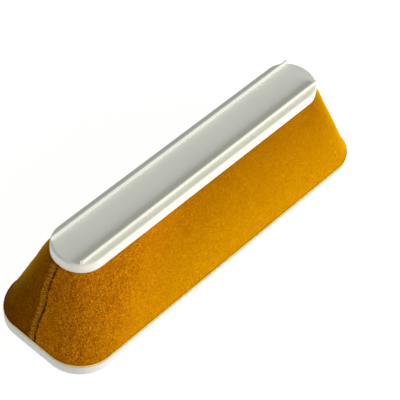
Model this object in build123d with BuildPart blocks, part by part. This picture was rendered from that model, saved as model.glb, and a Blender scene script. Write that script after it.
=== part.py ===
from build123d import *
import os

# Hand wiping block: a white foam sole under a tapered, velvet-covered foam body,
# held by a slim ribbed plastic plate. Millimetres. The origin is the middle of the
# working face, +X runs along the length and +Z points up, out of the ribbed plate.
# The closing seam of the velvet is on the end at -X.

# Sponge sole
sole_length = 170.0
sole_width = 51.3
sole_corner_radius = 15.3
sole_thickness = 5.8

# Adhesive film between the sole and the body
film_thickness = 0.2
film_setback = 1.2

# Velvet cover, with its pile
cover_height = 34.1
cover_thickness = 1.5
cover_setback = 0.2
tuck_thickness = 0.8
tuck_head_gap = 0.3

# Seam of the cover and the thread rungs that close it
seam_width = 0.8
seam_depth = 0.8
thread_diameter = 0.4
stitch_count = 13
stitch_end_margin = 2.4

# Stiffening board inside the cover
board_thickness = 2.0

# Grip plate: a shallow cap with two ribs along its top
plate_length = 143.3
plate_width = 22.7
plate_height = 4.6
plate_end_flat = 1.0
plate_edge_radius = 1.1
plate_wall = 1.6
plate_ceiling = 2.0
channel_width = 15.0
rib_thickness = 0.9
rib_height = 2.0
rib_top_radius = 0.3
rib_end_setback = 0.5

# Adhesive pad between the plate's ceiling and the core
pad_thickness = 0.8
pad_setback = 0.6

# Fits
glue_line = 0.1

# Heights, from the working face up
film_bottom = sole_thickness
board_bottom = film_bottom + film_thickness
board_top = board_bottom + board_thickness
skirt_bottom = board_bottom + cover_height
plate_top = skirt_bottom + plate_height
ceiling_underside = plate_top - plate_ceiling
core_top = ceiling_underside - pad_thickness
tuck_top = ceiling_underside - tuck_head_gap

# Insets from the plate's outline, working inwards
tuck_inset = plate_wall + glue_line
neck_inset = tuck_inset + tuck_thickness + glue_line

# Insets from the sole's outline, working inwards
core_inset = cover_thickness + glue_line


def sole_outline(inset=0.0):
    """Rounded rectangle of the sole, set in all round by the given amount."""
    RectangleRounded(
        sole_length - 2 * inset,
        sole_width - 2 * inset,
        sole_corner_radius - inset,
    )


def plate_outline(inset=0.0, mode=Mode.ADD):
    """Plate outline with almost fully round ends, set in all round by the given amount."""
    RectangleRounded(
        plate_length - 2 * inset,
        plate_width - 2 * inset,
        (plate_width - plate_end_flat) / 2 - inset,
        mode=mode,
    )


def taper(inset_at_sole, inset_at_plate):
    """Lower and upper sections of a body that narrows from the sole's outline to the plate's."""
    with BuildSketch(Plane.XY.offset(board_bottom)) as lower:
        sole_outline(inset_at_sole)
    with BuildSketch(Plane.XY.offset(skirt_bottom)) as upper:
        plate_outline(inset_at_plate)
    return [lower.sketch, upper.sketch]


def body_end_x(height):
    """Where the cover's sloping end face at -X stands at a given height, on the centre line."""
    rise = (height - board_bottom) / cover_height
    end_at_plate = plate_length / 2 - cover_setback
    return -sole_length / 2 + rise * (sole_length / 2 - end_at_plate)


# Sponge sole: one die-cut pad of white foam, whose underside is the working face.
with BuildPart() as sponge_sole:
    with BuildSketch():
        sole_outline()
    extrude(amount=sole_thickness)

# Sole adhesive: a film that stops short of the edge, so nothing squeezes out.
with BuildPart() as sole_adhesive:
    with BuildSketch(Plane.XY.offset(film_bottom)):
        sole_outline(film_setback)
    extrude(amount=film_thickness)

# Base board: stiffens the body's lower end and keeps the velvet's edge to its outline.
with BuildPart() as base_board:
    loft(taper(core_inset, neck_inset), ruled=True)
    split(bisect_by=Plane.XY.offset(board_top), keep=Keep.BOTTOM)

# Foam core: the soft tapered block that the hand holds through the velvet. Its neck
# stands up inside the grip plate.
with BuildPart() as foam_core:
    loft(taper(core_inset, neck_inset), ruled=True)
    split(bisect_by=Plane.XY.offset(board_top), keep=Keep.TOP)
    with BuildSketch(Plane.XY.offset(skirt_bottom)):
        plate_outline(neck_inset)
    extrude(amount=core_top - skirt_bottom)

# Velvet cover: one strip of fabric drawn round the core. Its lower edge is cut flush
# with the sole and its upper edge is tucked up inside the plate's skirt.
with BuildPart() as velvet_cover:
    loft(taper(0.0, cover_setback), ruled=True)
    with BuildSketch(Plane.XY.offset(skirt_bottom)):
        plate_outline(tuck_inset)
    extrude(amount=tuck_top - skirt_bottom)
    loft(taper(cover_thickness, neck_inset - glue_line), ruled=True, mode=Mode.SUBTRACT)
    with BuildSketch(Plane.XY.offset(skirt_bottom)):
        plate_outline(neck_inset - glue_line)
    extrude(amount=tuck_top - skirt_bottom, mode=Mode.SUBTRACT)
    with BuildSketch(Plane.XZ):
        with BuildLine():
            Polyline(
                (body_end_x(board_bottom), board_bottom),
                (body_end_x(board_bottom) + seam_depth, board_bottom),
                (body_end_x(skirt_bottom) + seam_depth, skirt_bottom),
                (body_end_x(skirt_bottom), skirt_bottom),
                close=True,
            )
        make_face()
    extrude(amount=seam_width / 2, both=True, mode=Mode.SUBTRACT)

# Seam thread: short rungs that pull the two edges of the strip together.
first_stitch = board_bottom + stitch_end_margin
stitch_pitch = (cover_height - 2 * stitch_end_margin) / (stitch_count - 1)
stitch_heights = [first_stitch + stitch_pitch * number for number in range(stitch_count)]
with BuildPart() as seam_thread:
    with BuildSketch(Plane.XZ):
        with Locations(*[(body_end_x(height) + seam_depth / 2, height) for height in stitch_heights]):
            Circle(thread_diameter / 2)
    extrude(amount=seam_width / 2, both=True)

# Plate pad: double-sided adhesive foam that holds the core's top to the plate's ceiling.
with BuildPart() as plate_pad:
    with BuildSketch(Plane.XY.offset(core_top)):
        plate_outline(neck_inset + pad_setback)
    extrude(amount=pad_thickness)

# Grip plate: moulded cap with a skirt round the tucked velvet. Two ribs run the whole
# length of its top and leave a flat channel between them.
rib_offset = (channel_width + rib_thickness) / 2
with BuildPart() as grip_plate:
    with BuildSketch(Plane.XY.offset(skirt_bottom)):
        plate_outline()
    extrude(amount=plate_height)
    fillet(grip_plate.faces().sort_by(Axis.Z)[-1].edges(), radius=plate_edge_radius)
    with BuildSketch(Plane.XY.offset(skirt_bottom)):
        plate_outline(plate_wall)
    extrude(amount=plate_height - plate_ceiling, mode=Mode.SUBTRACT)
    with BuildSketch(Plane.XY.offset(plate_top - plate_edge_radius)):
        with Locations((0, rib_offset), (0, -rib_offset)):
            Rectangle(plate_length, rib_thickness)
        plate_outline(rib_end_setback, mode=Mode.INTERSECT)
    extrude(amount=plate_edge_radius + rib_height)
    rib_crests = grip_plate.faces().sort_by(Axis.Z)[-2:]
    fillet(rib_crests.edges(), radius=rib_top_radius)

os.makedirs("parts", exist_ok=True)

sponge_sole.part.label = "sponge_sole"
export_step(sponge_sole.part, "parts/sponge_sole.step")
sole_adhesive.part.label = "sole_adhesive"
export_step(sole_adhesive.part, "parts/sole_adhesive.step")
base_board.part.label = "base_board"
export_step(base_board.part, "parts/base_board.step")
foam_core.part.label = "foam_core"
export_step(foam_core.part, "parts/foam_core.step")
velvet_cover.part.label = "velvet_cover"
export_step(velvet_cover.part, "parts/velvet_cover.step")
seam_thread.part.label = "seam_thread"
export_step(seam_thread.part, "parts/seam_thread.step")
plate_pad.part.label = "plate_pad"
export_step(plate_pad.part, "parts/plate_pad.step")
grip_plate.part.label = "grip_plate"
export_step(grip_plate.part, "parts/grip_plate.step")
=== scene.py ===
import math

import bpy
import numpy as np
from mathutils import Matrix, Vector


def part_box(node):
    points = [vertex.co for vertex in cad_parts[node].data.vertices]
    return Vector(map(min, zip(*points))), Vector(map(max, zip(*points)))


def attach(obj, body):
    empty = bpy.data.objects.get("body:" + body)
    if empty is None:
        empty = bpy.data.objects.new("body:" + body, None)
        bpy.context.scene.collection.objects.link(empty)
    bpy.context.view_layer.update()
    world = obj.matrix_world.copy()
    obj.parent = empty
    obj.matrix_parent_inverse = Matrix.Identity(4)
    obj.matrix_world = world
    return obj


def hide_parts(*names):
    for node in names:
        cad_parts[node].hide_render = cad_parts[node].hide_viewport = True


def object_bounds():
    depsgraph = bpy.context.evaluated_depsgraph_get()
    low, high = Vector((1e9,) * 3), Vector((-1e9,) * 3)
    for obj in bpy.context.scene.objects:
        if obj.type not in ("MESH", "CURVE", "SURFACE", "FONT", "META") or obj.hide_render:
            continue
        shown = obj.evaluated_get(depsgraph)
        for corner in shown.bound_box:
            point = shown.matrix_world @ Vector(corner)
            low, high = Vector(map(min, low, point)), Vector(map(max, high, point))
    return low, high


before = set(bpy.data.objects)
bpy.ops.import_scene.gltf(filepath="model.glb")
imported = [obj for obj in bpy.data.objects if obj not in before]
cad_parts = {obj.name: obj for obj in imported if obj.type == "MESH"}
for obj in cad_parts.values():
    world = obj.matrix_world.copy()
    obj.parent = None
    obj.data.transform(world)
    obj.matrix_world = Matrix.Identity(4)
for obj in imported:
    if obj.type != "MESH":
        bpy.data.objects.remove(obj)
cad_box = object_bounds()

# Viewpoint and studio. The block is seen from above its seamed end and front side,
# on a pale light table, with one large soft lamp low on the front right and a weak
# white surround. The camera stands far off on a long lens.
view_azimuth = math.radians(-53.37)
view_elevation = math.radians(48.85)
view_roll = math.radians(7.25)
view_distance = 0.70055
view_lens = 158.24
view_aim = Vector((0.0, 0.0, 0.025))
view_slide = (0.00563, -0.00350)
table_colour = (0.22, 0.22, 0.22)
table_glow = 0.9
surround_colour = (0.99, 1.0, 0.97)
surround_strength = 0.42
key_colour = (1.0, 1.0, 0.99)
key_turn = math.radians(28)
key_rise = math.radians(20)
key_distance = 0.9
key_size = 0.42
key_power = 6.3

view_back = Vector((
    math.sin(view_azimuth) * math.cos(view_elevation),
    -math.cos(view_azimuth) * math.cos(view_elevation),
    math.sin(view_elevation),
))
level_right = Vector((0, 0, 1)).cross(view_back).normalized()
level_up = view_back.cross(level_right)
view_right = math.cos(view_roll) * level_right + math.sin(view_roll) * level_up
view_up = math.cos(view_roll) * level_up - math.sin(view_roll) * level_right
camera_data = bpy.data.cameras.new("studio_camera")
camera_data.lens = view_lens
camera_data.sensor_width = 36
camera_data.clip_start = 0.05
camera_data.clip_end = 20
camera = bpy.data.objects.new("studio_camera", camera_data)
bpy.context.scene.collection.objects.link(camera)
camera_place = view_aim + view_back * view_distance + view_right * view_slide[0] + view_up * view_slide[1]
camera_turn = Matrix((view_right, view_up, view_back)).transposed().to_4x4()
camera.matrix_world = Matrix.Translation(camera_place) @ camera_turn
bpy.context.scene.camera = camera
bpy.context.scene.view_settings.view_transform = "Standard"

surround = bpy.data.worlds.new("studio_surround")
surround.use_nodes = True
surround.node_tree.nodes["Background"].inputs["Color"].default_value = (*surround_colour, 1)
surround.node_tree.nodes["Background"].inputs["Strength"].default_value = surround_strength
bpy.context.scene.world = surround

key_data = bpy.data.lights.new("key_lamp", "AREA")
key_data.shape = "SQUARE"
key_data.size = key_size
key_data.color = key_colour
key_data.energy = key_power
key_lamp = bpy.data.objects.new("key_lamp", key_data)
bpy.context.scene.collection.objects.link(key_lamp)
key_towards = Vector((
    math.sin(key_turn) * math.cos(key_rise),
    -math.cos(key_turn) * math.cos(key_rise),
    math.sin(key_rise),
))
key_lamp.location = view_aim + key_towards * key_distance
key_lamp.rotation_euler = key_towards.to_track_quat("Z", "Y").to_euler()


def add_node(tree, kind, place=(0, 0), **settings):
    """A node in a tree, with its properties set by name and its inputs by socket name in `inputs`."""
    node = tree.nodes.new(kind)
    node.location = place
    for name, value in settings.pop("inputs", {}).items():
        node.inputs[name].default_value = value
    for name, value in settings.items():
        setattr(node, name, value)
    return node


def new_material(name):
    """A node material with its Principled shader joined to its output, as material, tree and shader."""
    material = bpy.data.materials.new(name)
    material.use_nodes = True
    tree = material.node_tree
    shader = tree.nodes["Principled BSDF"]
    return material, tree, shader


table_material, tree, shader = new_material("table_top")
shader.inputs["Base Color"].default_value = (*table_colour, 1)
shader.inputs["Roughness"].default_value = 0.9
shader.inputs["Emission Color"].default_value = (1, 1, 1, 1)
shader.inputs["Emission Strength"].default_value = table_glow
table_mesh = bpy.data.meshes.new("table_top")
table_half = 6.0
table_corners = [(x * table_half, y * table_half, 0) for x, y in ((-1, -1), (1, -1), (1, 1), (-1, 1))]
table_mesh.from_pydata(table_corners, [], [(0, 1, 2, 3)])
table_mesh.materials.append(table_material)
table_top = bpy.data.objects.new("table_top", table_mesh)
table_gap = 0.0002
table_top.location.z = cad_box[0][2] - table_gap
bpy.context.scene.collection.objects.link(table_top)

# Sponge sole. One pad of fine white closed-cell foam, die-cut to a rounded rectangle,
# whose underside does the work. The knife leaves its edges slightly soft.
mm = 0.001
sole_low, sole_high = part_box("sponge_sole")
sole_length = sole_high.x - sole_low.x
sole_width = sole_high.y - sole_low.y
sole_corner = 15.3 * mm


def rounded_outline(length, width, corner, steps=(24, 40, 160)):
    """Points round a rounded rectangle, and their outward directions.

    They start at the middle of the -X end and go towards -Y. steps are the columns along half
    an end, round a corner and along a side, so two outlines with the same steps match corner
    to corner whatever their sizes."""
    end_steps, corner_steps, side_steps = steps
    straight_x, straight_y = length / 2 - corner, width / 2 - corner
    places, outwards = [], []

    def straight(start, stop, outward, count):
        for k in range(count):
            f = k / count
            places.append((start[0] + (stop[0] - start[0]) * f, start[1] + (stop[1] - start[1]) * f))
            outwards.append(outward)

    def bend(centre, first_angle):
        for k in range(corner_steps):
            angle = first_angle + math.pi / 2 * k / corner_steps
            outward = (math.cos(angle), math.sin(angle))
            places.append((centre[0] + corner * outward[0], centre[1] + corner * outward[1]))
            outwards.append(outward)

    straight((-length / 2, 0), (-length / 2, -straight_y), (-1, 0), end_steps)
    bend((-straight_x, -straight_y), math.pi)
    straight((-straight_x, -width / 2), (straight_x, -width / 2), (0, -1), side_steps)
    bend((straight_x, -straight_y), 1.5 * math.pi)
    straight((length / 2, -straight_y), (length / 2, straight_y), (1, 0), 2 * end_steps)
    bend((straight_x, straight_y), 0)
    straight((straight_x, width / 2), (-straight_x, width / 2), (0, 1), side_steps)
    bend((-straight_x, straight_y), math.pi / 2)
    straight((-length / 2, straight_y), (-length / 2, 0), (-1, 0), end_steps)
    return np.array(places), np.array(outwards)


def mesh_from_rings(name, rings, loop=False):
    """A mesh skinned over stacked rings of equal length, capped flat or, as a loop, closed on itself."""
    count = len(rings[0])
    levels = len(rings)
    points = np.concatenate(rings)
    column = np.arange(count)
    following = (column + 1) % count
    faces = []
    for level in range(levels if loop else levels - 1):
        low, high = level * count, (level + 1) % levels * count
        faces.append(np.stack([low + column, low + following, high + following, high + column], axis=1))
    faces = np.concatenate(faces).tolist()
    if not loop:
        faces.append(column[::-1].tolist())
        faces.append(((levels - 1) * count + column).tolist())
    mesh = bpy.data.meshes.new(name)
    mesh.from_pydata(points.tolist(), [], faces)
    mesh.polygons.foreach_set("use_smooth", [len(face) == 4 for face in faces])
    mesh.update()
    return mesh


def at_height(plan, height):
    """A ring of plan points lifted to one height, or to one height each."""
    return np.column_stack([plan, np.broadcast_to(height, len(plan))])


def soft_noise(places, size, seed):
    """Smooth noise from -1 to 1 over 3-D places, with swells about `size` across."""
    wave_count = 7
    full_swing = 1.6
    draw = np.random.default_rng(seed)
    total = np.zeros(len(places))
    for _ in range(wave_count):
        direction = draw.normal(size=3)
        direction /= np.linalg.norm(direction)
        wave = 2 * math.pi / (size * draw.uniform(0.7, 1.5))
        total += np.sin(places @ direction * wave + draw.uniform(0, 2 * math.pi))
    return total / wave_count * full_swing


def link_piece(name, mesh, material_slot, *materials):
    """Puts a mesh in the scene as a piece that rides on the root body, with these materials. material_slot
    is not used.
    """
    piece = bpy.data.objects.new(name, mesh)
    bpy.context.scene.collection.objects.link(piece)
    for material in materials:
        mesh.materials.append(material)
    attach(piece, "root")
    return piece


def bell(value, centre, width):
    """A smooth bump of height 1."""
    return np.exp(-(((value - centre) / width) ** 2))


def facing_of(outward):
    """The direction each point of an outline faces, in degrees round from +X."""
    return np.degrees(np.arctan2(outward[:, 1], outward[:, 0])) % 360


def turn_from(facing, middle):
    """The signed turn in degrees from a middle direction to each facing, at most half way round."""
    return (facing - middle + 180.0) % 360.0 - 180.0


def soft_corner(ring, outward):
    """Where the back left corner is rounder than the others, from 0 to 1, on a ring of body or sole."""
    middle_facing = 112.0
    facing_spread = 42.0
    run_along_back = 16 * mm
    facing = facing_of(outward)
    on_back = np.isclose(facing, 90.0)
    past_bend = np.where(facing > 91.0, 0.0, ring[:, 0] - ring[on_back, 0].min())
    return bell(facing, middle_facing, facing_spread) * bell(past_bend, 0.0, run_along_back)


sole_edge = 0.55 * mm
sole_side_swell = 0.12 * mm
sole_unevenness = 0.07 * mm
sole_corner_wear = 0.95 * mm
edge_steps = 5
quarter = [k / edge_steps * math.pi / 2 for k in range(edge_steps + 1)]
edge_profile = [(sole_edge * (1 - math.sin(a)), sole_edge * (1 - math.cos(a))) for a in quarter]
sole_profile = [(sole_low.z + up, inset) for up, inset in reversed(edge_profile)]
sole_profile += [
    (sole_low.z + (sole_high.z - sole_low.z) * f, -sole_side_swell * math.sin(math.pi * f))
    for f in (0.25, 0.4, 0.55, 0.7, 0.82)
]
sole_profile += [(sole_high.z - down, inset) for down, inset in edge_profile]
sole_plan, sole_outward = rounded_outline(sole_length, sole_width, sole_corner)
sole_rings = []
for height, inset in sole_profile:
    ring = at_height(sole_plan - sole_outward * inset, height)
    unevenness = soft_noise(ring, 22 * mm, 3) * sole_unevenness
    ring[:, :2] += sole_outward * (unevenness - sole_corner_wear * soft_corner(ring, sole_outward))[:, None]
    sole_rings.append(ring)


def foam_cells():
    """Node group: the closed cells of foam, as a height, a tone and a roughness."""
    group = bpy.data.node_groups.new("foam_cells", "ShaderNodeTree")
    put = group.interface.new_socket
    put("Vector", in_out="INPUT", socket_type="NodeSocketVector")
    put("Cell Size", in_out="INPUT", socket_type="NodeSocketFloat").default_value = 0.0003
    put("Light", in_out="INPUT", socket_type="NodeSocketColor")
    put("Dark", in_out="INPUT", socket_type="NodeSocketColor")
    put("Height", in_out="OUTPUT", socket_type="NodeSocketFloat")
    put("Colour", in_out="OUTPUT", socket_type="NodeSocketColor")
    put("Roughness", in_out="OUTPUT", socket_type="NodeSocketFloat")
    enter = add_node(group, "NodeGroupInput", (-900, 0))
    leave = add_node(group, "NodeGroupOutput", (700, 0))
    scale = add_node(group, "ShaderNodeMath", (-700, -200), operation="DIVIDE")
    scale.inputs[0].default_value = 1.0
    group.links.new(enter.outputs["Cell Size"], scale.inputs[1])
    cells = add_node(group, "ShaderNodeTexVoronoi", (-480, 120), feature="F1")
    group.links.new(enter.outputs["Vector"], cells.inputs["Vector"])
    group.links.new(scale.outputs[0], cells.inputs["Scale"])
    wide = add_node(group, "ShaderNodeTexNoise", (-480, -180), inputs={"Scale": 60.0, "Detail": 4.0})
    group.links.new(enter.outputs["Vector"], wide.inputs["Vector"])
    pits = add_node(group, "ShaderNodeMapRange", (-240, 120), inputs={"From Min": 0.15, "From Max": 0.75})
    group.links.new(cells.outputs["Distance"], pits.inputs["Value"])
    tone = add_node(group, "ShaderNodeMath", (0, -60), operation="MULTIPLY_ADD")
    tone.inputs[1].default_value = 0.35
    group.links.new(pits.outputs["Result"], tone.inputs[0])
    patch_range = {"From Min": 0.35, "From Max": 0.7, "To Max": 0.5}
    patch = add_node(group, "ShaderNodeMapRange", (-240, -180), inputs=patch_range)
    group.links.new(wide.outputs["Fac"], patch.inputs["Value"])
    group.links.new(patch.outputs["Result"], tone.inputs[2])
    blend = add_node(group, "ShaderNodeMix", (240, 0), data_type="RGBA")
    group.links.new(tone.outputs[0], blend.inputs["Factor"])
    group.links.new(enter.outputs["Light"], blend.inputs["A"])
    group.links.new(enter.outputs["Dark"], blend.inputs["B"])
    rough = add_node(group, "ShaderNodeMapRange", (240, -260), inputs={"To Min": 0.72, "To Max": 0.9})
    group.links.new(pits.outputs["Result"], rough.inputs["Value"])
    sink = add_node(group, "ShaderNodeMath", (240, 220), operation="SUBTRACT")
    sink.inputs[0].default_value = 1.0
    group.links.new(pits.outputs["Result"], sink.inputs[1])
    group.links.new(sink.outputs[0], leave.inputs["Height"])
    group.links.new(blend.outputs["Result"], leave.inputs["Colour"])
    group.links.new(rough.outputs["Result"], leave.inputs["Roughness"])
    return group


foam_cells_group = foam_cells()


def foam_material(name, cell_size, light, dark, relief):
    """Foam: cell pattern for colour, roughness and relief."""
    material, tree, shader = new_material(name)
    place = add_node(tree, "ShaderNodeTexCoord", (-900, 0))
    cells = add_node(tree, "ShaderNodeGroup", (-600, 0), node_tree=foam_cells_group)
    cells.inputs["Cell Size"].default_value = cell_size
    cells.inputs["Light"].default_value = (*light, 1)
    cells.inputs["Dark"].default_value = (*dark, 1)
    tree.links.new(place.outputs["Object"], cells.inputs["Vector"])
    bump = add_node(tree, "ShaderNodeBump", (-300, -200), inputs={"Strength": 0.6, "Distance": relief})
    tree.links.new(cells.outputs["Height"], bump.inputs["Height"])
    tree.links.new(cells.outputs["Colour"], shader.inputs["Base Color"])
    tree.links.new(cells.outputs["Roughness"], shader.inputs["Roughness"])
    tree.links.new(bump.outputs["Normal"], shader.inputs["Normal"])
    return material


white_foam = foam_material("white_foam", 0.45 * mm, (0.77, 0.775, 0.755), (0.60, 0.605, 0.575), 0.09 * mm)
sole_mesh = mesh_from_rings("sponge_sole_pad", sole_rings)
sponge_sole = link_piece("sponge_sole_pad", sole_mesh, "white_foam", white_foam)
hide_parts("sponge_sole")

# Adhesive film and base board. The board is raw hardboard that stiffens the lower end,
# and a tacky amber film under it holds the sole. Both are hidden inside.
board_material, tree, shader = new_material("raw_hardboard")
place = add_node(tree, "ShaderNodeTexCoord", (-900, 0))
stretch = add_node(tree, "ShaderNodeMapping", (-700, 0), inputs={"Scale": (300.0, 900.0, 900.0)})
fibre_grain = {"Scale": 1.0, "Detail": 6.0, "Roughness": 0.7}
fibres = add_node(tree, "ShaderNodeTexNoise", (-500, 0), inputs=fibre_grain)
shade = add_node(tree, "ShaderNodeValToRGB", (-300, 0))
shade.color_ramp.elements[0].color = (0.20, 0.12, 0.06, 1)
shade.color_ramp.elements[1].color = (0.46, 0.32, 0.18, 1)
bump = add_node(tree, "ShaderNodeBump", (-300, -250), inputs={"Strength": 0.5, "Distance": 0.08 * mm})
tree.links.new(place.outputs["Object"], stretch.inputs["Vector"])
tree.links.new(stretch.outputs["Vector"], fibres.inputs["Vector"])
tree.links.new(fibres.outputs["Fac"], shade.inputs["Fac"])
tree.links.new(fibres.outputs["Fac"], bump.inputs["Height"])
tree.links.new(shade.outputs["Color"], shader.inputs["Base Color"])
tree.links.new(bump.outputs["Normal"], shader.inputs["Normal"])
shader.inputs["Roughness"].default_value = 0.85

film_material, tree, shader = new_material("amber_film")
place = add_node(tree, "ShaderNodeTexCoord", (-900, 0))
smear_grain = {"Scale": 140.0, "Detail": 5.0, "Distortion": 1.5}
smears = add_node(tree, "ShaderNodeTexNoise", (-600, 0), inputs=smear_grain)
shade = add_node(tree, "ShaderNodeValToRGB", (-400, 0))
shade.color_ramp.elements[0].color = (0.62, 0.48, 0.22, 1)
shade.color_ramp.elements[1].color = (0.82, 0.72, 0.44, 1)
gloss = add_node(tree, "ShaderNodeMapRange", (-400, -250), inputs={"To Min": 0.15, "To Max": 0.45})
tree.links.new(place.outputs["Object"], smears.inputs["Vector"])
tree.links.new(smears.outputs["Fac"], shade.inputs["Fac"])
tree.links.new(smears.outputs["Fac"], gloss.inputs["Value"])
tree.links.new(shade.outputs["Color"], shader.inputs["Base Color"])
tree.links.new(gloss.outputs["Result"], shader.inputs["Roughness"])


def finish_cad_node(node, material):
    """A CAD node whose shape is right keeps its mesh and gets this material."""
    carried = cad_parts[node]
    carried.data.materials.clear()
    carried.data.materials.append(material)


finish_cad_node("base_board", board_material)
finish_cad_node("sole_adhesive", film_material)

# Foam core. A tapered block of cream open-cell polyurethane that gives the body its
# shape, with a neck that stands up inside the plate. Knife-cut, so its faces are open.
core_low, core_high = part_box("foam_core")
plate_low, plate_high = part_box("grip_plate")
cover_low, cover_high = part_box("velvet_cover")
plate_length = plate_high.x - plate_low.x
plate_width = plate_high.y - plate_low.y
plate_end_flat = 1.0 * mm
skirt_bottom = plate_low.z


def body_plan(t, inset_low, inset_high, steps):
    """Plan of the tapered body at t, from 0 at the sole to 1 at the plate, set in by the two insets."""
    low, outward = rounded_outline(
        sole_length - 2 * inset_low, sole_width - 2 * inset_low, sole_corner - inset_low, steps
    )
    high, _ = rounded_outline(
        plate_length - 2 * inset_high,
        plate_width - 2 * inset_high,
        (plate_width - plate_end_flat) / 2 - inset_high,
        steps,
    )
    return low + (high - low) * t, outward


def round_length(ring):
    """Signed length along a ring from its first point: positive towards -Y, negative past half way."""
    step = np.linalg.norm(np.roll(ring, -1, axis=0) - ring, axis=1)
    along = np.concatenate([[0.0], np.cumsum(step)[:-1]])
    return np.where(along > step.sum() / 2, along - step.sum(), along)


def body_relief(ring, outward, t):
    """How far the body stands out of its straight taper: a soft back left corner, and fuller above."""
    far_front_facing = 334.0
    far_front_spread = 36.0
    foot_fade = 0.1
    head_fade = 0.04
    back_left = 0.85 * bell(t, 0.93, 0.2) - 1.15 * bell(t, 0.0, 0.42)
    far_front = 0.5 * bell(t, 0.55, 0.25) + 0.55 * bell(t, 0.93, 0.12)
    shoulders = np.abs(outward[:, 0] * outward[:, 1]) * 2 * 0.3 * bell(t, 0.85, 0.16)
    belly = 0.22 * bell(t, 0.62, 0.35) + soft_noise(ring, 26 * mm, 11) * 0.16
    relief = soft_corner(ring, outward) * back_left
    from_far_front = turn_from(facing_of(outward), far_front_facing)
    relief = relief + bell(from_far_front, 0.0, far_front_spread) * far_front
    relief = relief + shoulders + belly * min(1.0, t / foot_fade)
    return relief * min(1.0, (1 - t) / head_fade) * mm


def inner_relief(ring, outward, t):
    """The same for the core and the cloth's inner face, which stay straight beside the stiffening board."""
    board_top = 0.07
    blend_rise = 0.12
    return body_relief(ring, outward, t) * np.clip((t - board_top) / blend_rise, 0, 1)


core_inset_low, core_inset_high = 1.6 * mm, 2.6 * mm
core_steps = (8, 16, 60)
core_rings = []
body_rise = skirt_bottom - cover_low.z
core_chamfer = 0.4 * mm
core_roughness = 0.06 * mm
core_levels = 24
core_start = (core_low.z - cover_low.z) / body_rise
core_stations = [(core_chamfer, core_start)]
core_stations += [(0.0, core_start + (1 - core_start) * k / core_levels) for k in range(1, core_levels + 1)]
for inset, t in core_stations:
    plan, outward = body_plan(t, core_inset_low, core_inset_high, core_steps)
    ring = at_height(plan - outward * inset, cover_low.z + body_rise * t)
    unevenness = soft_noise(ring, 9 * mm, 5) * core_roughness - core_roughness
    ring[:, :2] += outward * (unevenness + inner_relief(ring, outward, t))[:, None]
    core_rings.append(ring)
core_rings.append(at_height(plan - outward * core_chamfer / 2, core_high.z - core_chamfer))
core_rings.append(at_height(plan - outward * core_chamfer, core_high.z))
core_foam = foam_material("cream_open_foam", 0.9 * mm, (0.80, 0.72, 0.50), (0.42, 0.34, 0.18), 0.4 * mm)
core_mesh = mesh_from_rings("foam_core_block", core_rings)
foam_core = link_piece("foam_core_block", core_mesh, "core_foam", core_foam)
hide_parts("foam_core")

# Velvet cover. One strip of gold cotton velvet drawn tight round the core and closed on the
# -X end. Its cut lower edge laps just over the sole and shows the cream backing, and its
# upper edge rolls in under the plate's skirt.
cover_steps = (42, 62, 300)
backing_rise = 0.2 * mm
backing_drop = 1.15 * mm
pile_roll = 0.25 * mm
top_roll = 0.7 * mm
pile_head_inset = 0.2 * mm
pile_grain = 0.10 * mm
pile_swell = 0.07 * mm
cover_thickness = 1.5 * mm
tuck_outer_inset = 1.75 * mm
tuck_inner_inset = 2.45 * mm
cover_levels = 66


def seam_line(t):
    """How far the seam wanders from the middle of the end, along the strip, at t."""
    return (0.3 - 1.5 * t + 0.3 * math.sin(5.1 * t + 0.6) + 0.38 * math.sin(13.0 * t + 2.0)) * mm


def curl_of(ring):
    """Where the pile is crushed and curly: right of the seam, fading out round the near corner."""
    curls_end = 46
    curls_fade = 24
    along = round_length(ring) / mm
    return np.clip(along + 0.5, 0, 1) * np.clip((curls_end - along) / curls_fade, 0, 1)


def seam_relief(ring, t):
    """How far the cloth stands out along its closing seam: a groove with a raised lip on its left."""
    across = (round_length(ring) - seam_line(t)) / mm
    tufts = 0.75 + 0.5 * math.sin(t * 62) * math.sin(t * 29 + 1)
    groove = -1.0 * bell(across, 0.1, 0.6)
    left_lip = 0.6 * tufts * bell(across, -1.25, 0.75)
    right_lip = 0.15 * bell(across, 1.1, 0.8)
    return (groove + left_lip + right_lip) * mm


def rolled_in(distance, radius):
    """How far an edge rolled to a radius has drawn in, at a distance up or down from its end."""
    return radius * (1 - math.sqrt(max(0.0, 1 - (1 - min(1.0, distance / radius)) ** 2)))


cover_rings = []
pile_start = backing_rise / body_rise
first_plan, first_outward = body_plan(0.0, 0.0, pile_head_inset, cover_steps)
foot_shift = body_relief(at_height(first_plan, cover_low.z), first_outward, 0.0)
foot_profile = [
    (0.55 * mm, 0.0),
    (0.14 * mm, -0.25 * backing_drop),
    (-0.02 * mm, -0.6 * backing_drop),
    (-0.14 * mm, -backing_drop),
    (-0.2 * mm, backing_rise),
]
for inset, height in foot_profile:
    foot_plan = first_plan + first_outward * (foot_shift - inset)[:, None]
    cover_rings.append(at_height(foot_plan, cover_low.z + height))
backing_levels = len(cover_rings)
for k in range(cover_levels + 1):
    f = k / cover_levels
    t = pile_start + (1 - pile_start) * f
    plan, outward = body_plan(t, 0.0, pile_head_inset, cover_steps)
    foot = rolled_in((t - pile_start) * body_rise, pile_roll)
    head = rolled_in((1 - t) * body_rise, top_roll)
    ring = at_height(plan, cover_low.z + body_rise * t)
    edge_fade = min(1.0, 8 * f, 8 * (1 - f))
    grain = soft_noise(ring, 1.5 * mm, 21) * (0.5 + 0.5 * curl_of(ring)) * pile_grain * edge_fade
    swells = soft_noise(ring, 9 * mm, 12) * pile_swell
    seam = seam_relief(ring, t) * min(1.0, 12 * f)
    push = body_relief(ring, outward, t) + seam + grain + swells - foot * 0.8 - head
    ring[:, :2] += outward * push[:, None]
    cover_rings.append(ring)
tuck_plan, _ = body_plan(1.0, 0.0, tuck_outer_inset, cover_steps)
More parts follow.
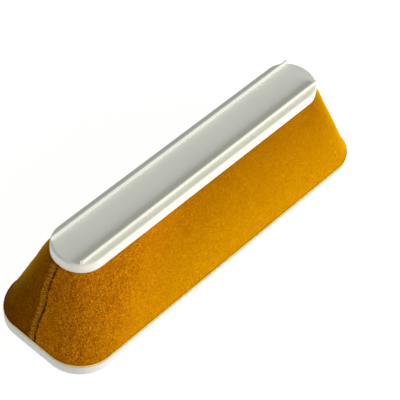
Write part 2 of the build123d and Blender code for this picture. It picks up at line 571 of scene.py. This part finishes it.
for height in (skirt_bottom - 0.02 * mm, skirt_bottom + 0.8 * mm, cover_high.z):
    cover_rings.append(at_height(tuck_plan, height))
inner_plan, _ = body_plan(1.0, 0.0, tuck_inner_inset, cover_steps)
for height in (cover_high.z, skirt_bottom):
    cover_rings.append(at_height(inner_plan, height))
lining_levels = 14
for k in range(1, lining_levels + 1):
    t = 1 - k / lining_levels
    plan, outward = body_plan(t, cover_thickness, tuck_inner_inset, cover_steps)
    ring = at_height(plan, cover_low.z + body_rise * t)
    ring[:, :2] += outward * inner_relief(ring, outward, t)[:, None]
    cover_rings.append(ring)
cover_mesh = mesh_from_rings("velvet_cover_cloth", cover_rings, loop=True)
columns = len(first_plan)
pile_first, pile_last = backing_levels, backing_levels + cover_levels + 3
levels_of_faces = np.repeat(np.arange(len(cover_rings)), columns)
is_pile = (levels_of_faces >= pile_first - 1) & (levels_of_faces < pile_last)
cover_mesh.polygons.foreach_set("material_index", np.where(is_pile, 0, 1).astype(np.int32))

along_strip = np.concatenate([round_length(ring) for ring in cover_rings]) / mm
up_body = np.clip((np.concatenate(cover_rings)[:, 2] - cover_low.z) / body_rise, 0, 1)


def point_attribute(mesh, name, values):
    """Stores one number per point for the shaders and the fibres to read."""
    layer = mesh.attributes.new(name, "FLOAT", "POINT")
    layer.data.foreach_set("value", np.asarray(values, dtype=np.float32))


from_seam = np.abs(along_strip)
# Painted shade: the pile's colour is darkened on the end left of the seam, which faces away from the lamp,
# less so on the seam's raised lip.
dark_reach = 75
dark_fade = 45
left_of_seam = (along_strip < 0) * np.clip((dark_reach + along_strip) / dark_fade, 0, 1)
levels_up = [float(t) for t in up_body.reshape(-1, columns)[:, 0]]
across_seam = along_strip - np.concatenate([np.full(columns, seam_line(t) / mm) for t in levels_up])
lip = bell(across_seam, -1.5, 0.95)
beside_seam = bell(along_strip, -5.0, 5.0)
point_attribute(cover_mesh, "painted_lighting", 1.0 - left_of_seam * (1 - 0.7 * lip - 0.1 * beside_seam))
# Painted shade in the seam's groove.
point_attribute(cover_mesh, "groove", bell(across_seam, 0.1, 0.85))
facing = np.tile(facing_of(first_outward), len(cover_rings))
# Painted sheen: a brighter olive rim up the back left corner, strongest higher up.
back_sheen_facing = 98.0
back_sheen_spread = 36.0
back_sheen = bell(facing, back_sheen_facing, back_sheen_spread)
point_attribute(cover_mesh, "sheen_edge", back_sheen * np.clip(2.2 * up_body - 0.1, 0, 1))
# Painted highlight: brighter yellow round the far end and its front corner.
far_shine_facing = 342.0
far_shine_spread = 30.0
point_attribute(cover_mesh, "far_shine", bell(turn_from(facing, far_shine_facing), 0.0, far_shine_spread))
# Painted shade: the front is darker towards the top, away from the seam.
shade_towards_top = np.clip(1.15 * up_body - 0.1, 0, 1)
point_attribute(cover_mesh, "painted_top_shade", shade_towards_top * np.clip((from_seam - 30) / 40, 0, 1))
curls = np.concatenate([curl_of(ring) for ring in cover_rings])
point_attribute(cover_mesh, "curl", 0.48 + 1.35 * curls + 0.75 * left_of_seam)
point_attribute(cover_mesh, "reach", np.clip((from_seam - 12) / 75, 0, 1) + 0.25 * (1 - up_body))


def velvet_nap():
    """Node group: short dense pile, as a tone from parted to lying, a slow patchiness and a height."""
    group = bpy.data.node_groups.new("velvet_nap", "ShaderNodeTree")
    put = group.interface.new_socket
    put("Vector", in_out="INPUT", socket_type="NodeSocketVector")
    put("Tuft Size", in_out="INPUT", socket_type="NodeSocketFloat").default_value = 0.0008
    put("Contrast", in_out="INPUT", socket_type="NodeSocketFloat").default_value = 1.0
    put("Tone", in_out="OUTPUT", socket_type="NodeSocketFloat")
    put("Patch", in_out="OUTPUT", socket_type="NodeSocketFloat")
    put("Height", in_out="OUTPUT", socket_type="NodeSocketFloat")
    enter = add_node(group, "NodeGroupInput", (-1100, 0))
    leave = add_node(group, "NodeGroupOutput", (800, 0))
    scale = add_node(group, "ShaderNodeMath", (-900, -200), operation="DIVIDE")
    scale.inputs[0].default_value = 1.0
    group.links.new(enter.outputs["Tuft Size"], scale.inputs[1])
    tuft_grain = {"Detail": 4.0, "Roughness": 0.75, "Distortion": 2.2}
    tufts = add_node(group, "ShaderNodeTexNoise", (-650, 150), inputs=tuft_grain)
    brush_grain = {"Scale": 130.0, "Detail": 5.0, "Distortion": 0.8}
    brushing = add_node(group, "ShaderNodeTexNoise", (-650, -150), inputs=brush_grain)
    group.links.new(enter.outputs["Vector"], tufts.inputs["Vector"])
    group.links.new(scale.outputs[0], tufts.inputs["Scale"])
    group.links.new(enter.outputs["Vector"], brushing.inputs["Vector"])
    tone = add_node(group, "ShaderNodeMapRange", (-400, 150), inputs={"From Min": 0.36, "From Max": 0.64})
    patch = add_node(group, "ShaderNodeMapRange", (-400, -150), inputs={"From Min": 0.35, "From Max": 0.65})
    group.links.new(tufts.outputs["Fac"], tone.inputs["Value"])
    group.links.new(brushing.outputs["Fac"], patch.inputs["Value"])
    swing = add_node(group, "ShaderNodeMath", (-150, 150), operation="SUBTRACT")
    swing.inputs[1].default_value = 0.5
    group.links.new(tone.outputs["Result"], swing.inputs[0])
    eased = add_node(group, "ShaderNodeMath", (100, 150), operation="MULTIPLY_ADD")
    eased.inputs[2].default_value = 0.5
    group.links.new(swing.outputs[0], eased.inputs[0])
    group.links.new(enter.outputs["Contrast"], eased.inputs[1])
    height = add_node(group, "ShaderNodeMath", (100, -50), operation="MULTIPLY")
    group.links.new(tone.outputs["Result"], height.inputs[0])
    group.links.new(enter.outputs["Contrast"], height.inputs[1])
    group.links.new(eased.outputs[0], leave.inputs["Tone"])
    group.links.new(patch.outputs["Result"], leave.inputs["Patch"])
    group.links.new(height.outputs[0], leave.inputs["Height"])
    return group


velvet_nap_group = velvet_nap()
gold_velvet, tree, shader = new_material("gold_velvet")
place = add_node(tree, "ShaderNodeTexCoord", (-1500, 0))
nap = add_node(tree, "ShaderNodeGroup", (-1250, 0), node_tree=velvet_nap_group)
nap.inputs["Tuft Size"].default_value = 1.05 * mm
tree.links.new(place.outputs["Object"], nap.inputs["Vector"])
curl = add_node(tree, "ShaderNodeAttribute", (-1250, -250), attribute_name="curl")
reach = add_node(tree, "ShaderNodeAttribute", (-1250, -400), attribute_name="reach")
painted_lighting_node = add_node(tree, "ShaderNodeAttribute", (-1250, -550), attribute_name="painted_lighting")
painted_sheen_rim = add_node(tree, "ShaderNodeAttribute", (-1250, -700), attribute_name="sheen_edge")
tree.links.new(curl.outputs["Fac"], nap.inputs["Contrast"])


def mixed(factor, first, second, place, blend="MIX"):
    """A colour mix in the material tree now being built, from sockets or fixed colours."""
    mix = add_node(tree, "ShaderNodeMix", place, data_type="RGBA", blend_type=blend)
    for socket, source in (("Factor", factor), ("A", first), ("B", second)):
        if isinstance(source, tuple):
            mix.inputs[socket].default_value = (*source, 1)
        else:
            tree.links.new(source, mix.inputs[socket])
    return mix.outputs["Result"]


near_pile = mixed(nap.outputs["Tone"], (0.46, 0.060, 0.0008), (1.0, 0.405, 0.0030), (-950, 200))
far_pile = mixed(nap.outputs["Tone"], (0.30, 0.100, 0.0008), (0.98, 0.440, 0.0014), (-950, 0))
pile = mixed(reach.outputs["Fac"], near_pile, far_pile, (-700, 100))
patched = mixed(nap.outputs["Patch"], pile, (0.95, 0.91, 0.95), (-500, 100), "MULTIPLY")
# Painted shade darkens the front towards the top.
painted_top_shade = add_node(tree, "ShaderNodeAttribute", (-700, 400), attribute_name="painted_top_shade")
painted_shade_tinted = mixed(painted_top_shade.outputs["Fac"], patched, (0.64, 0.55, 0.8), (-350, 200), "MULTIPLY")
# Painted shade: the darker pile colours of the end left of the seam.
painted_shade_pile = mixed(nap.outputs["Tone"], (0.014, 0.004, 0.0004), (0.345, 0.088, 0.0022), (-750, -150))
# Painted sheen rim up the back left corner, mixed over the shaded end.
dark_pile = mixed(painted_sheen_rim.outputs["Fac"], painted_shade_pile, (0.76, 0.37, 0.006), (-500, -150))
# Painted highlight on the far end.
far_shine = add_node(tree, "ShaderNodeAttribute", (-500, 550), attribute_name="far_shine")
shining = mixed(far_shine.outputs["Fac"], painted_shade_tinted, (1.0, 0.55, 0.0025), (-300, 350))
# Here the end's painted shade is mixed into the pile colour.
turned = mixed(painted_lighting_node.outputs["Fac"], dark_pile, shining, (-250, 100))
# Painted shade in the seam's groove.
groove = add_node(tree, "ShaderNodeAttribute", (-500, 350), attribute_name="groove")
groove_painted_shade = mixed(groove.outputs["Fac"], turned, (0.07, 0.045, 0.05), (-100, 250), "MULTIPLY")
tree.links.new(groove_painted_shade, shader.inputs["Base Color"])
bump = add_node(tree, "ShaderNodeBump", (-500, -400), inputs={"Strength": 0.8, "Distance": 0.4 * mm})
tree.links.new(nap.outputs["Height"], bump.inputs["Height"])
tree.links.new(bump.outputs["Normal"], shader.inputs["Normal"])
shader.inputs["Roughness"].default_value = 0.95
shader.inputs["Specular IOR Level"].default_value = 0.0
shader.inputs["Sheen Weight"].default_value = 0.25
shader.inputs["Sheen Roughness"].default_value = 0.45
shader.inputs["Sheen Tint"].default_value = (1.0, 0.52, 0.0, 1)

cream_backing, tree, shader = new_material("cream_backing")
place = add_node(tree, "ShaderNodeTexCoord", (-900, 0))
threads = add_node(tree, "ShaderNodeTexNoise", (-600, 0), inputs={"Scale": 1800.0, "Detail": 3.0})
shade = add_node(tree, "ShaderNodeValToRGB", (-400, 0))
shade.color_ramp.elements[0].color = (0.66, 0.50, 0.13, 1)
shade.color_ramp.elements[1].color = (0.93, 0.80, 0.40, 1)
bump = add_node(tree, "ShaderNodeBump", (-400, -250), inputs={"Strength": 0.6, "Distance": 0.1 * mm})
tree.links.new(place.outputs["Object"], threads.inputs["Vector"])
tree.links.new(threads.outputs["Fac"], shade.inputs["Fac"])
tree.links.new(threads.outputs["Fac"], bump.inputs["Height"])
tree.links.new(shade.outputs["Color"], shader.inputs["Base Color"])
tree.links.new(bump.outputs["Normal"], shader.inputs["Normal"])
shader.inputs["Roughness"].default_value = 0.9

velvet_cover = link_piece("velvet_cover_cloth", cover_mesh, "gold_velvet", gold_velvet, cream_backing)
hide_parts("velvet_cover")

# Loose pile and fray. Crushed fibres that stand proud of the velvet, thickest beside the
# seam and on the near end, and cream threads frayed from the cut edge over the sole.
def fibre_tree():
    """Geometry tree: short bent fibres scattered over a surface, as thickly as its fibre_mask says."""
    group = bpy.data.node_groups.new("scatter_fibres", "GeometryNodeTree")
    group.is_modifier = True
    put = group.interface.new_socket
    put("Surface", in_out="INPUT", socket_type="NodeSocketGeometry")
    for name in ("Density", "Length", "Width", "Lean", "Bend"):
        put(name, in_out="INPUT", socket_type="NodeSocketFloat")
    put("Seed", in_out="INPUT", socket_type="NodeSocketInt")
    put("Material", in_out="INPUT", socket_type="NodeSocketMaterial")
    put("Fibres", in_out="OUTPUT", socket_type="NodeSocketGeometry")
    join = group.links.new
    enter = add_node(group, "NodeGroupInput", (-1300, 0))
    leave = add_node(group, "NodeGroupOutput", (1200, 0))
    mask = add_node(group, "GeometryNodeInputNamedAttribute", (-1100, -200), data_type="FLOAT")
    mask.inputs["Name"].default_value = "fibre_mask"
    thick = add_node(group, "ShaderNodeMath", (-900, -100), operation="MULTIPLY")
    join(mask.outputs["Attribute"], thick.inputs[0])
    join(enter.outputs["Density"], thick.inputs[1])
    spots = add_node(group, "GeometryNodeDistributePointsOnFaces", (-650, 0))
    join(enter.outputs["Surface"], spots.inputs["Mesh"])
    join(thick.outputs[0], spots.inputs["Density"])
    join(enter.outputs["Seed"], spots.inputs["Seed"])
    shade = add_node(group, "FunctionNodeRandomValue", (-650, -300), data_type="FLOAT")
    join(enter.outputs["Seed"], shade.inputs["Seed"])
    toned = add_node(group, "GeometryNodeStoreNamedAttribute", (-400, 0), data_type="FLOAT")
    toned.inputs["Name"].default_value = "tone"
    join(spots.outputs["Points"], toned.inputs["Geometry"])
    join(shade.outputs[1], toned.inputs["Value"])
    cone_shape = {"Vertices": 3, "Side Segments": 2, "Radius Top": 0.0}
    cone = add_node(group, "GeometryNodeMeshCone", (-650, 500), fill_type="NONE", inputs=cone_shape)
    join(enter.outputs["Width"], cone.inputs["Radius Bottom"])
    join(enter.outputs["Length"], cone.inputs["Depth"])
    here = add_node(group, "GeometryNodeInputPosition", (-900, 350))
    parts = add_node(group, "ShaderNodeSeparateXYZ", (-700, 350))
    join(here.outputs[0], parts.inputs[0])
    square = add_node(group, "ShaderNodeMath", (-500, 350), operation="MULTIPLY")
    join(parts.outputs["Z"], square.inputs[0])
    join(parts.outputs["Z"], square.inputs[1])
    swing = add_node(group, "ShaderNodeMath", (-350, 350), operation="MULTIPLY")
    join(square.outputs[0], swing.inputs[0])
    join(enter.outputs["Bend"], swing.inputs[1])
    offset = add_node(group, "ShaderNodeCombineXYZ", (-200, 350))
    join(swing.outputs[0], offset.inputs["X"])
    bent = add_node(group, "GeometryNodeSetPosition", (-50, 500))
    join(cone.outputs["Mesh"], bent.inputs["Geometry"])
    join(offset.outputs[0], bent.inputs["Offset"])
    least = add_node(group, "ShaderNodeMath", (-650, -550), operation="MULTIPLY")
    least.inputs[1].default_value = -1.0
    join(enter.outputs["Lean"], least.inputs[0])
    low_turn = add_node(group, "ShaderNodeCombineXYZ", (-450, -550))
    high_turn = add_node(group, "ShaderNodeCombineXYZ", (-450, -700), inputs={"Z": 2 * math.pi})
    for axis in ("X", "Y"):
        join(least.outputs[0], low_turn.inputs[axis])
        join(enter.outputs["Lean"], high_turn.inputs[axis])
    turn = add_node(group, "FunctionNodeRandomValue", (-250, -550), data_type="FLOAT_VECTOR")
    join(low_turn.outputs[0], turn.inputs[0])
    join(high_turn.outputs[0], turn.inputs[1])
    join(enter.outputs["Seed"], turn.inputs["Seed"])
    turned = add_node(group, "FunctionNodeRotateRotation", (0, -300), rotation_space="LOCAL")
    join(spots.outputs["Rotation"], turned.inputs["Rotation"])
    join(turn.outputs[0], turned.inputs["Rotate By"])
    size = add_node(group, "FunctionNodeRandomValue", (0, -550), data_type="FLOAT")
    size.inputs[2].default_value = 0.55
    size.inputs[3].default_value = 1.35
    join(enter.outputs["Seed"], size.inputs["Seed"])
    placed = add_node(group, "GeometryNodeInstanceOnPoints", (300, 0))
    join(toned.outputs["Geometry"], placed.inputs["Points"])
    join(bent.outputs["Geometry"], placed.inputs["Instance"])
    join(turned.outputs[0], placed.inputs["Rotation"])
    join(size.outputs[1], placed.inputs["Scale"])
    real = add_node(group, "GeometryNodeRealizeInstances", (550, 0))
    join(placed.outputs["Instances"], real.inputs["Geometry"])
    coloured = add_node(group, "GeometryNodeSetMaterial", (800, 0))
    join(real.outputs["Geometry"], coloured.inputs["Geometry"])
    join(enter.outputs["Material"], coloured.inputs["Material"])
    join(coloured.outputs["Geometry"], leave.inputs["Fibres"])
    return group


def grown(name, tree, host_mesh, settings):
    """The plain mesh that a geometry tree makes from a host mesh, with its inputs set by name."""
    host = bpy.data.objects.new(name + "_host", host_mesh)
    bpy.context.scene.collection.objects.link(host)
    modifier = host.modifiers.new("grow", "NODES")
    modifier.node_group = tree
    for item in tree.interface.items_tree:
        if item.in_out == "INPUT" and item.name in settings:
            modifier[item.identifier] = settings[item.name]
    bpy.context.view_layer.update()
    made = bpy.data.meshes.new_from_object(host.evaluated_get(bpy.context.evaluated_depsgraph_get()))
    made.name = name
    host.modifiers.remove(modifier)
    bpy.data.objects.remove(host)
    return made


scatter_fibres = fibre_tree()
gold_fibre, tree, shader = new_material("gold_fibre")
tone = add_node(tree, "ShaderNodeAttribute", (-1000, 200), attribute_name="tone")
reach = add_node(tree, "ShaderNodeAttribute", (-1000, 0), attribute_name="reach")
painted_lighting_node = add_node(tree, "ShaderNodeAttribute", (-1000, -200), attribute_name="painted_lighting")
near_fibre = mixed(tone.outputs["Fac"], (0.34, 0.050, 0.0008), (1.0, 0.46, 0.014), (-700, 200))
far_fibre = mixed(tone.outputs["Fac"], (0.36, 0.12, 0.0008), (1.0, 0.47, 0.006), (-700, 0))
lit_fibre = mixed(reach.outputs["Fac"], near_fibre, far_fibre, (-450, 100))
# Painted shade: fibres on the end left of the seam take darker colours.
dark_fibre = mixed(tone.outputs["Fac"], (0.07, 0.020, 0.001), (0.90, 0.44, 0.012), (-450, -150))
fibre_colour = mixed(painted_lighting_node.outputs["Fac"], dark_fibre, lit_fibre, (-200, 100))
tree.links.new(fibre_colour, shader.inputs["Base Color"])
shader.inputs["Roughness"].default_value = 0.75
shader.inputs["Specular IOR Level"].default_value = 0.04

pile_points = np.zeros(len(along_strip))
hem_rings = 1
tuck_rings = 4
pile_points[(pile_first + hem_rings) * columns : (pile_last - tuck_rings) * columns] = 1.0
loose_reach = 100
loose_fade = 50
scattered = 0.018 * (1 - left_of_seam) * np.clip((loose_reach - from_seam) / loose_fade, 0, 1)
out_of_groove = 1 - bell(across_seam, 0.1, 1.1)
fibre_share = np.clip((0.15 * curls + scattered + 0.8 * lip) * out_of_groove, 0, 1)
point_attribute(cover_mesh, "fibre_mask", pile_points * fibre_share)
pile_mesh = grown("velvet_loose_pile", scatter_fibres, cover_mesh, {
    "Density": 26.0e6,
    "Length": 0.85 * mm,
    "Width": 0.12 * mm,
    "Lean": 1.2,
    "Bend": 600.0,
    "Seed": 4,
    "Material": gold_fibre,
})
link_piece("velvet_loose_pile", pile_mesh, "gold_velvet")

fray_points = np.zeros(len(along_strip))
fray_start = 2
fray_stop = 4
fray_points[fray_start * columns : fray_stop * columns] = 1.0
cover_mesh.attributes["fibre_mask"].data.foreach_set("value", fray_points.astype(np.float32))
fray_mesh = grown("velvet_edge_fray", scatter_fibres, cover_mesh, {
    "Density": 14.0e6,
    "Length": 0.42 * mm,
    "Width": 0.07 * mm,
    "Lean": 1.2,
    "Bend": 900.0,
    "Seed": 9,
    "Material": cream_backing,
})
link_piece("velvet_edge_fray", fray_mesh, "gold_velvet")

# Plate pad. A die-cut strip of white foam, sticky on both faces, that holds the plate's
# ceiling down on the core's neck. It is hidden inside.
pad_foam = foam_material("pad_foam", 0.25 * mm, (0.78, 0.78, 0.76), (0.62, 0.62, 0.60), 0.05 * mm)
finish_cad_node("plate_pad", pad_foam)

# Seam thread. One brown spun thread whipped over the left lip of the seam by hand, so its
# turns show as short slanting bars. It wanders with the lip.
def whipping_tree():
    """Geometry tree: a thread wound in a helix along a path, with uneven turns."""
    group = bpy.data.node_groups.new("whip_thread", "GeometryNodeTree")
    group.is_modifier = True
    put = group.interface.new_socket
    put("Path", in_out="INPUT", socket_type="NodeSocketGeometry")
    for name in ("Turns", "Radius", "Thread Radius", "Unevenness"):
        put(name, in_out="INPUT", socket_type="NodeSocketFloat")
    put("Outward", in_out="INPUT", socket_type="NodeSocketVector")
    put("Material", in_out="INPUT", socket_type="NodeSocketMaterial")
    put("Thread", in_out="OUTPUT", socket_type="NodeSocketGeometry")
    join = group.links.new
    enter = add_node(group, "NodeGroupInput", (-1300, 0))
    leave = add_node(group, "NodeGroupOutput", (1200, 0))
    path = add_node(group, "GeometryNodeMeshToCurve", (-1000, 300))
    join(enter.outputs["Path"], path.inputs["Mesh"])
    helix = add_node(group, "GeometryNodeCurveSpiral", (-1000, 0), inputs={"Resolution": 14, "Height": 1.0})
    join(enter.outputs["Turns"], helix.inputs["Rotations"])
    join(enter.outputs["Radius"], helix.inputs["Start Radius"])
    join(enter.outputs["Radius"], helix.inputs["End Radius"])
    here = add_node(group, "GeometryNodeInputPosition", (-1000, -300))
    parts = add_node(group, "ShaderNodeSeparateXYZ", (-800, -300))
    join(here.outputs[0], parts.inputs[0])
    along = add_node(group, "GeometryNodeSampleCurve", (-600, 300), mode="FACTOR")
    join(path.outputs["Curve"], along.inputs["Curves"])
    join(parts.outputs["Z"], along.inputs["Factor"])
    lifted = add_node(group, "ShaderNodeVectorMath", (-600, -100), operation="SCALE")
    join(enter.outputs["Outward"], lifted.inputs["Vector"])
    join(parts.outputs["X"], lifted.inputs["Scale"])
    sideways = add_node(group, "ShaderNodeCombineXYZ", (-600, -300))
    join(parts.outputs["Y"], sideways.inputs["Y"])
    wobble = add_node(group, "ShaderNodeTexNoise", (-600, -500), inputs={"Scale": 700.0, "Detail": 2.0})
    join(along.outputs["Position"], wobble.inputs["Vector"])
    centred = add_node(group, "ShaderNodeVectorMath", (-400, -500), operation="SUBTRACT")
    centred.inputs[1].default_value = (0.5, 0.5, 0.5)
    join(wobble.outputs["Color"], centred.inputs[0])
    shaken = add_node(group, "ShaderNodeVectorMath", (-200, -500), operation="SCALE")
    join(centred.outputs[0], shaken.inputs["Vector"])
    join(enter.outputs["Unevenness"], shaken.inputs["Scale"])
    total = along.outputs["Position"]
    for extra in (lifted.outputs[0], sideways.outputs[0], shaken.outputs[0]):
        added = add_node(group, "ShaderNodeVectorMath", (0, 0), operation="ADD")
        join(total, added.inputs[0])
        join(extra, added.inputs[1])
        total = added.outputs[0]
    wound = add_node(group, "GeometryNodeSetPosition", (300, 0))
    join(helix.outputs["Curve"], wound.inputs["Geometry"])
    join(total, wound.inputs["Position"])
    profile = add_node(group, "GeometryNodeCurvePrimitiveCircle", (300, -300), inputs={"Resolution": 6})
    join(enter.outputs["Thread Radius"], profile.inputs["Radius"])
    tube = add_node(group, "GeometryNodeCurveToMesh", (550, 0), inputs={"Fill Caps": True})
    join(wound.outputs["Geometry"], tube.inputs["Curve"])
    join(profile.outputs["Curve"], tube.inputs["Profile Curve"])
    real = add_node(group, "GeometryNodeRealizeInstances", (750, 0))
    join(tube.outputs["Mesh"], real.inputs["Geometry"])
    coloured = add_node(group, "GeometryNodeSetMaterial", (950, 0))
    join(real.outputs["Geometry"], coloured.inputs["Geometry"])
    join(enter.outputs["Material"], coloured.inputs["Material"])
    join(coloured.outputs["Geometry"], leave.inputs["Thread"])
    return group


brown_thread, tree, shader = new_material("brown_thread")
place = add_node(tree, "ShaderNodeTexCoord", (-1000, 0))
strand_grain = {"Scale": 900.0, "Distortion": 3.0, "Detail": 2.0}
strands = add_node(tree, "ShaderNodeTexWave", (-700, 150), inputs=strand_grain)
fluff = add_node(tree, "ShaderNodeTexNoise", (-700, -150), inputs={"Scale": 1500.0, "Detail": 4.0})
tree.links.new(place.outputs["Object"], strands.inputs["Vector"])
tree.links.new(place.outputs["Object"], fluff.inputs["Vector"])
ply = mixed(strands.outputs["Fac"], (0.46, 0.20, 0.005), (1.0, 0.60, 0.03), (-400, 100))
worn = mixed(fluff.outputs["Fac"], ply, (0.72, 0.66, 0.60), (-150, 100), "MULTIPLY")
tree.links.new(worn, shader.inputs["Base Color"])
bump = add_node(tree, "ShaderNodeBump", (-400, -250), inputs={"Strength": 0.7, "Distance": 0.1 * mm})
tree.links.new(strands.outputs["Fac"], bump.inputs["Height"])
tree.links.new(bump.outputs["Normal"], shader.inputs["Normal"])
shader.inputs["Roughness"].default_value = 0.85
shader.inputs["Specular IOR Level"].default_value = 0.1

lip_offset = -1.6 * mm
lip_path = []
path_levels = range(pile_first + 3, pile_first + cover_levels - 2)
for level in path_levels:
    ring = cover_rings[level]
    t = float((ring[0, 2] - cover_low.z) / body_rise)
    nearest = int(np.abs(round_length(ring) - seam_line(t) - lip_offset).argmin())
    lip_path.append(ring[nearest].tolist())
path_mesh = bpy.data.meshes.new("seam_path")
path_mesh.from_pydata(lip_path, [(k, k + 1) for k in range(len(lip_path) - 1)], [])
end_run = (sole_length - plate_length) / 2
end_face = Vector((-body_rise, 0.0, end_run)).normalized()
thread_mesh = grown("seam_whipping", whipping_tree(), path_mesh, {
    "Turns": 17.0,
    "Radius": 0.6 * mm,
    "Thread Radius": 0.18 * mm,
    "Unevenness": 1.4 * mm,
    "Outward": tuple(end_face),
    "Material": brown_thread,
})
thread_mesh.polygons.foreach_set("use_smooth", [True] * len(thread_mesh.polygons))
seam_thread = link_piece("seam_whipping", thread_mesh, "thread")
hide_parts("seam_thread")

# Grip plate. A cap of off-white polypropylene, moulded in one with two ribs along its top and
# stuck over the core's neck. Its near side is tinted warmer, a painted warm shade for the velvet's bounce
# light.
plastic_material, tree, shader = new_material("white_plastic")
place = add_node(tree, "ShaderNodeTexCoord", (-900, 0))
skin = add_node(tree, "ShaderNodeTexNoise", (-600, 0), inputs={"Scale": 2600.0, "Detail": 2.0})
cloud = add_node(tree, "ShaderNodeTexNoise", (-600, -250), inputs={"Scale": 35.0, "Detail": 5.0})
shade = add_node(tree, "ShaderNodeValToRGB", (-400, -250))
shade.color_ramp.elements[0].color = (0.75, 0.755, 0.685, 1)
shade.color_ramp.elements[1].color = (0.83, 0.835, 0.775, 1)
# Painted warm shade: from 3 mm off the middle out over the near rib and front wall, standing for the
# velvet's bounce light beside the near rib.
across = add_node(tree, "ShaderNodeSeparateXYZ", (-700, -450))
warm_from = -3.0 * mm
warm_to = -7.2 * mm
warm_range = {"From Min": warm_from, "From Max": warm_to}
warm_shade_mask = add_node(tree, "ShaderNodeMapRange", (-450, -500), inputs=warm_range)
bump = add_node(tree, "ShaderNodeBump", (-400, 100), inputs={"Strength": 0.15, "Distance": 0.02 * mm})
tree.links.new(place.outputs["Object"], skin.inputs["Vector"])
tree.links.new(place.outputs["Object"], cloud.inputs["Vector"])
tree.links.new(skin.outputs["Fac"], bump.inputs["Height"])
tree.links.new(cloud.outputs["Fac"], shade.inputs["Fac"])
tree.links.new(place.outputs["Object"], across.inputs[0])
tree.links.new(across.outputs["Y"], warm_shade_mask.inputs["Value"])
warm_tint = (0.99, 0.975, 0.93)
painted_shade_tinted = mixed(warm_shade_mask.outputs["Result"], shade.outputs["Color"], warm_tint, (-150, -250), "MULTIPLY")
tree.links.new(painted_shade_tinted, shader.inputs["Base Color"])
tree.links.new(bump.outputs["Normal"], shader.inputs["Normal"])
shader.inputs["Roughness"].default_value = 0.42
finish_cad_node("grip_plate", plastic_material)
